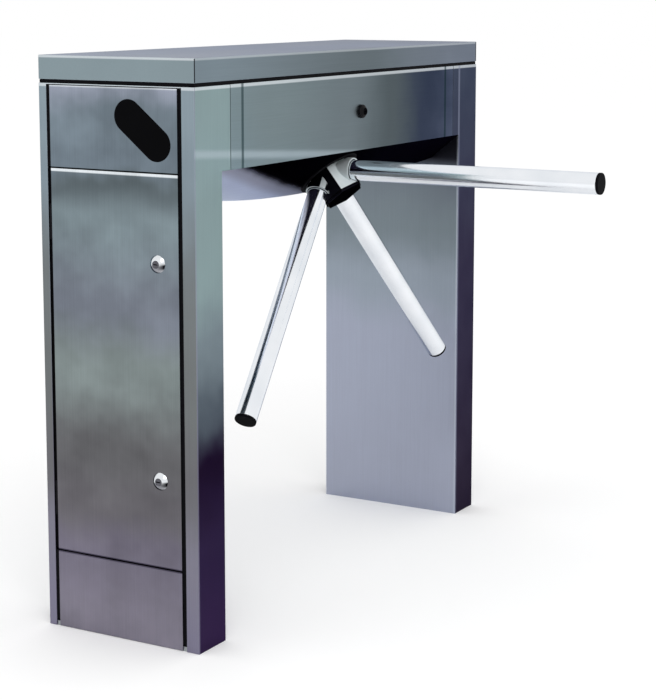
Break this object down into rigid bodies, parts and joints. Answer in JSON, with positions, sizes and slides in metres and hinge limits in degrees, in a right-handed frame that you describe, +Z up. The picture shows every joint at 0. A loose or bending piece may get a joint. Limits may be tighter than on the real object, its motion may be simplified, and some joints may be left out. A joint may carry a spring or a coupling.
{
  "type": "tripod turnstile",
  "caption": "Tripod turnstile: a bridge-shaped stainless housing on two legs with a tilted hub whose tubular arms turn to let people pass one at a time.",
  "frame": {"origin": "on the floor, at the centre of the four floor anchor holes, midway between the two legs", "axes": "+X points to the passage side, where the arms reach out; +Y points from the leg with the service door to the other leg; +Z is up"},
  "size_m": [0.8033, 1.0489, 0.98],
  "materials": {
    "brushed_stainless": "satin brushed",
    "polished_chrome": "polished",
    "cast_hub": "fine ground",
    "zinc_steel": "zinc plated",
    "painted_frame": "satin powder coat",
    "machined_steel": "machined",
    "gear_brass": "machined",
    "black_rubber": "matt",
    "black_plastic": "moulded",
    "smoked_window": "polished",
    "circuit_board": "solder mask",
    "lock_chrome": "polished",
    "supply_case": "anodised"
  },
  "bodies": {
    "root": {"base_plates": "zinc_steel", "front_leg": "brushed_stainless", "rear_leg": "brushed_stainless", "right_side_panel": "brushed_stainless", "left_side_panel": "brushed_stainless", "belly_cover": "brushed_stainless", "chassis": "painted_frame", "lid_seal": "black_rubber", "panel_hinge_leaves": "zinc_steel", "hinge_pins": "zinc_steel", "front_head_panel": "brushed_stainless", "front_window": "smoked_window", "indicator_boards": "circuit_board", "leg_hinge_leaves": "zinc_steel", "end_seals": "black_rubber", "kick_panel": "brushed_stainless", "rear_head_panel": "brushed_stainless", "rear_window": "smoked_window", "rear_cover": "brushed_stainless", "rear_cover_screws": "zinc_steel", "override_lock_body": "black_plastic", "electronics_tray": "zinc_steel", "control_board": "circuit_board", "power_supply": "supply_case", "mechanism_plate": "machined_steel", "rear_plate": "machined_steel", "mechanism_pillars": "machined_steel", "bearing_housing": "painted_frame", "shaft_bearings": "machined_steel", "hub_seals": "black_rubber", "rotary_damper": "black_plastic", "position_sensor": "black_plastic", "solenoids": "black_plastic"},
    "lid": {"lid": "brushed_stainless", "lid_hinge_leaves": "zinc_steel"},
    "door": {"service_door": "brushed_stainless", "door_hinge_leaves": "zinc_steel", "door_lock_bodies": "lock_chrome"},
    "upper_plug": {"upper_lock_plug": "lock_chrome"},
    "lower_plug": {"lower_lock_plug": "lock_chrome"},
    "override_plug": {"override_lock_plug": "lock_chrome"},
    "tripod": {"main_shaft": "machined_steel", "hub": "cast_hub", "hub_cap": "black_plastic", "hub_bolt": "zinc_steel", "arm_out": "polished_chrome", "arm_near": "polished_chrome", "arm_far": "polished_chrome", "arm_end_caps": "black_rubber", "lock_disc": "machined_steel", "index_cam": "machined_steel", "drive_gear": "gear_brass", "position_disc": "machined_steel"},
    "pinion": {"damper_pinion": "gear_brass"},
    "lever": {"roller_lever": "machined_steel"},
    "roller": {"lever_roller": "machined_steel"},
    "entry_pawl": {"entry_pawl": "machined_steel"},
    "exit_pawl": {"exit_pawl": "machined_steel"},
    "entry_plunger": {"entry_plunger": "machined_steel"},
    "exit_plunger": {"exit_plunger": "machined_steel"}
  },
  "joints": [
    {"name": "lid_hinge", "type": "hinge", "parent": "root", "child": "lid", "pos_m": [-0.16, 0, 0.937], "axis": [0, -1, 0], "range_deg": [0, 95]},
    {"name": "door_hinge", "type": "hinge", "parent": "root", "child": "door", "pos_m": [-0.1365, -0.517, 0.4645], "axis": [0, 0, -1], "range_deg": [0, 90]},
    {"name": "upper_lock_turn", "type": "hinge", "parent": "door", "child": "upper_plug", "pos_m": [0.081, -0.52, 0.646], "axis": [0, -1, 0], "range_deg": [0, 90]},
    {"name": "lower_lock_turn", "type": "hinge", "parent": "door", "child": "lower_plug", "pos_m": [0.081, -0.52, 0.284], "axis": [0, -1, 0], "range_deg": [0, 90]},
    {"name": "override_lock_turn", "type": "hinge", "parent": "root", "child": "override_plug", "pos_m": [0.155, 0.028, 0.865], "axis": [1, 0, 0], "range_deg": [0, 90]},
    {"name": "tripod_turn", "type": "hinge", "parent": "root", "child": "tripod", "pos_m": [0.09727, 0, 0.75883], "axis": [0.6293, 0, -0.7771], "continuous": true},
    {"name": "damper_turn", "type": "hinge", "parent": "root", "child": "pinion", "pos_m": [0.05196, -0.0643, 0.81478], "axis": [0.6293, 0, -0.7771], "continuous": true},
    {"name": "lever_swing", "type": "hinge", "parent": "root", "child": "lever", "pos_m": [0.02561, 0.095, 0.78058], "axis": [0.6293, 0, -0.7771], "range_deg": [0, 8]},
    {"name": "roller_turn", "type": "hinge", "parent": "lever", "child": "roller", "pos_m": [0.02526, 0.01796, 0.76936], "axis": [0.6293, 0, -0.7771], "continuous": true},
    {"name": "entry_pawl_swing", "type": "hinge", "parent": "root", "child": "entry_pawl", "pos_m": [0.10725, -0.095, 0.81324], "axis": [-0.6293, 0, 0.7771], "range_deg": [0, 8]},
    {"name": "exit_pawl_swing", "type": "hinge", "parent": "root", "child": "exit_pawl", "pos_m": [0.04197, 0.095, 0.76038], "axis": [-0.6293, 0, 0.7771], "range_deg": [0, 8]},
    {"name": "entry_plunger_slide", "type": "slide", "parent": "root", "child": "entry_plunger", "axis": [0, -1, 0], "range_m": [0, 0.007]},
    {"name": "exit_plunger_slide", "type": "slide", "parent": "root", "child": "exit_plunger", "axis": [0, 1, 0], "range_m": [0, 0.007]}
  ],
  "couplings": [
    {"joint": "damper_turn", "follows": "tripod_turn", "ratio": -3},
    {"joint": "entry_plunger_slide", "follows": "entry_pawl_swing", "m_per_rad": 0.05},
    {"joint": "exit_plunger_slide", "follows": "exit_pawl_swing", "m_per_rad": 0.05}
  ]
}
